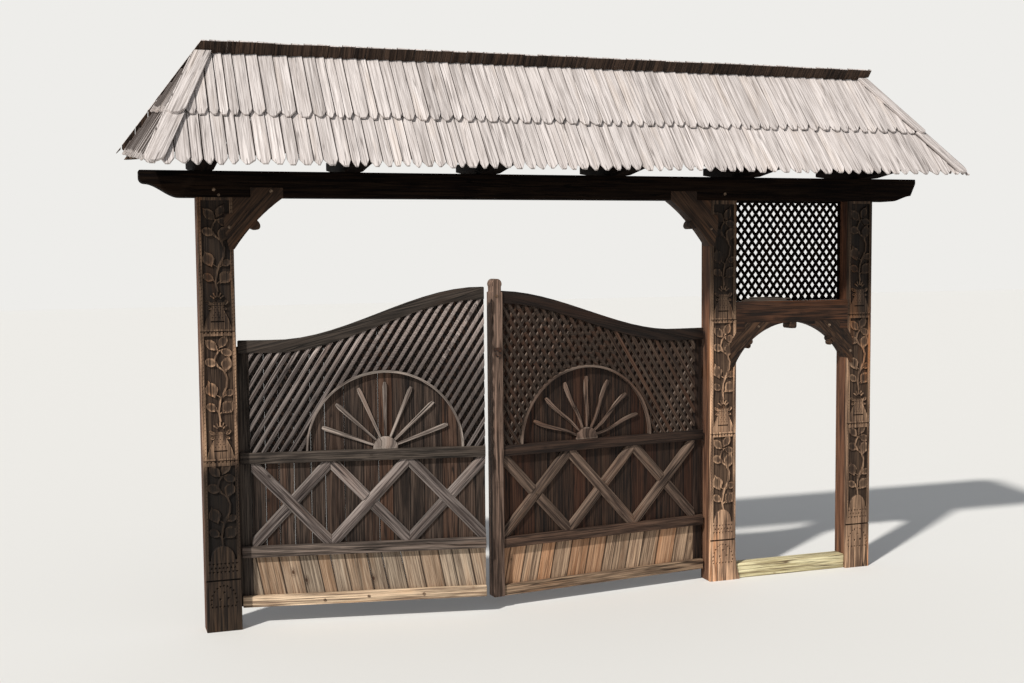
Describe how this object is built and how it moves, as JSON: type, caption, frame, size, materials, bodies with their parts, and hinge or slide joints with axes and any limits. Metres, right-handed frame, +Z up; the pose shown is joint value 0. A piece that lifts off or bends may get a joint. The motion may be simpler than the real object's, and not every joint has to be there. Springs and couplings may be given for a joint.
{
  "type": "carved wooden yard gate",
  "caption": "Roofed wooden yard gate: a wagon gate with two lattice leaves and an arched wicket beside it, under a hipped shingle roof",
  "frame": {"origin": "middle of the middle post's foot, on the level of the feet", "axes": "+X along the gate from the wagon opening to the wicket, +Y to the yard side behind the gate, +Z up"},
  "size_m": [6.4359, 1.2922, 4.1459],
  "materials": {
    "carved_post_wood": "weathered, carved",
    "dark_beam_wood": "dark, weathered",
    "brace_wood": "weathered",
    "pale_sill_wood": "bare, worn",
    "dark_lattice_wood": "dark, weathered",
    "roof_frame_wood": "rough sawn",
    "grey_shingle_wood": "silver grey, weathered",
    "dark_iron": "forged, dull",
    "skirt_wood": "bare, stained",
    "left_leaf_wood": "grey brown, weathered",
    "right_leaf_wood": "red brown, weathered"
  },
  "bodies": {
    "gate_frame": {"left_post": "carved_post_wood", "middle_post": "carved_post_wood", "right_post": "carved_post_wood", "lintel": "dark_beam_wood", "left_brace": "brace_wood", "middle_brace": "brace_wood", "wicket_transom": "brace_wood", "wicket_left_brace": "brace_wood", "wicket_right_brace": "brace_wood", "wicket_pendant": "brace_wood", "wicket_lattice": "dark_lattice_wood", "threshold": "pale_sill_wood", "cross_bearers": "dark_beam_wood", "front_rafters": "roof_frame_wood", "back_rafters": "roof_frame_wood", "hip_rafters": "roof_frame_wood", "front_laths": "roof_frame_wood", "back_laths": "roof_frame_wood", "hip_laths": "roof_frame_wood", "front_lower_course": "grey_shingle_wood", "front_upper_course": "grey_shingle_wood", "back_lower_course": "grey_shingle_wood", "back_upper_course": "grey_shingle_wood", "left_hip_shingles": "grey_shingle_wood", "right_hip_shingles": "grey_shingle_wood", "left_hip_boards": "grey_shingle_wood", "right_hip_boards": "grey_shingle_wood", "left_pintles": "dark_iron", "right_pintles": "dark_iron"},
    "left_leaf": {"left_hinge_stile": "left_leaf_wood", "left_meeting_stile": "left_leaf_wood", "left_top_rail": "left_leaf_wood", "left_rails": "left_leaf_wood", "left_lattice": "left_leaf_wood", "left_sunburst": "left_leaf_wood", "left_rays": "left_leaf_wood", "left_panel_boards": "left_leaf_wood", "left_cross_battens": "left_leaf_wood", "left_skirt_boards": "skirt_wood", "left_hinges": "dark_iron"},
    "right_leaf": {"right_hinge_stile": "right_leaf_wood", "right_meeting_stile": "right_leaf_wood", "right_top_rail": "right_leaf_wood", "right_rails": "right_leaf_wood", "right_lattice": "right_leaf_wood", "right_sunburst": "right_leaf_wood", "right_rays": "right_leaf_wood", "right_panel_boards": "right_leaf_wood", "right_cross_battens": "right_leaf_wood", "right_skirt_boards": "skirt_wood", "right_hinges": "dark_iron", "right_latch": "dark_iron"}
  },
  "joints": [
    {"name": "left_leaf_swing", "type": "hinge", "parent": "gate_frame", "child": "left_leaf", "pos_m": [-3.821, 0.1025, 0], "axis": [0, 0, 1], "range_deg": [0, 100]},
    {"name": "right_leaf_swing", "type": "hinge", "parent": "gate_frame", "child": "right_leaf", "pos_m": [-0.125, 0.1025, 0], "axis": [0, 0, -1], "range_deg": [0, 97]}
  ]
}
